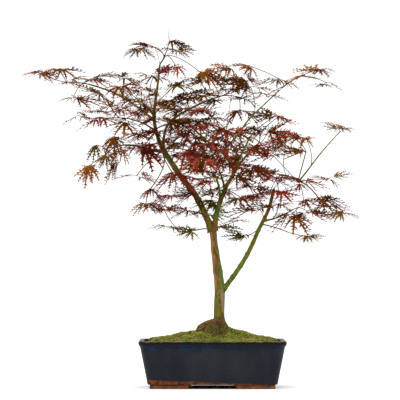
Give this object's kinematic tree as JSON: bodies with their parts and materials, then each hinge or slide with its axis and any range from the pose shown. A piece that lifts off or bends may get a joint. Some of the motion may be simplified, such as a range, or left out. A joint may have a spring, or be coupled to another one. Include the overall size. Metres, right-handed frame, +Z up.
{
  "type": "potted japanese maple bonsai",
  "caption": "Small laceleaf maple tree with leaning boughs and airy pads of cut leaves, in a rectangular glazed pot on low clay feet, with a moss mound.",
  "frame": {"origin": "middle of the whole plant's box, left to right and front to back, on the level of the pot's feet", "axes": "+Z up, +X to the right of the tree's front, +Y to its back"},
  "size_m": [0.571, 0.3252, 0.609],
  "materials": {
    "pot_glaze": "gloss",
    "pot_clay": "matte",
    "soil": "matte",
    "moss": "matte",
    "bark": "matte",
    "green_bark": "satin",
    "leaf_crimson": "satin",
    "leaf_brown": "satin",
    "leaf_olive": "satin",
    "leaf_green": "satin"
  },
  "bodies": {
    "root": {"pot_body": "pot_glaze", "pot_foot_front_left": "pot_clay", "pot_foot_back_left": "pot_clay", "pot_foot_front_right": "pot_clay", "pot_foot_back_right": "pot_clay", "soil": "soil", "moss_mound": "moss", "trunk": "bark", "bough_left": "green_bark", "bough_right": "green_bark", "bough_centre": "green_bark", "leader": "green_bark", "bough_upper_right": "green_bark", "bough_inner_left": "green_bark", "shoot_upper_right": "green_bark", "bough_low_left": "green_bark", "arm_left": "green_bark", "twig_left": "green_bark", "shoot_right": "green_bark", "twig_right_low": "green_bark", "twig_low_right": "green_bark", "bough_front_high": "green_bark", "bough_back_high": "green_bark", "bough_front_centre": "green_bark", "bough_back_centre": "green_bark", "bough_front_right": "green_bark", "bough_back_right": "green_bark", "foliage_far_left": "leaf_brown", "foliage_left_outer": "leaf_olive", "foliage_left_upper": "leaf_olive", "foliage_left_front": "leaf_brown", "foliage_left_back": "leaf_crimson", "foliage_left_middle": "leaf_crimson", "foliage_left_drooping": "leaf_olive", "foliage_left_inner": "leaf_crimson", "foliage_left_under": "leaf_brown", "foliage_bough_under": "leaf_crimson", "foliage_low_left": "leaf_green", "foliage_top_left": "leaf_brown", "foliage_top_right": "leaf_brown", "foliage_leader_tuft": "leaf_crimson", "foliage_leader_right": "leaf_brown", "foliage_upper_centre": "leaf_brown", "foliage_upper_right": "leaf_brown", "foliage_far_upper_right": "leaf_brown", "foliage_inner_front": "leaf_crimson", "foliage_inner_back": "leaf_brown", "foliage_centre_front": "leaf_crimson", "foliage_centre_back": "leaf_brown", "foliage_right_front": "leaf_crimson", "foliage_right_back": "leaf_brown", "foliage_right_middle": "leaf_crimson", "foliage_right_middle_back": "leaf_brown", "foliage_right_outer": "leaf_brown", "foliage_right_low": "leaf_crimson", "foliage_low_right": "leaf_brown", "foliage_right_side": "leaf_olive", "foliage_far_right": "leaf_brown", "foliage_fork": "leaf_green", "foliage_low_centre": "leaf_green"}
  },
  "joints": []
}
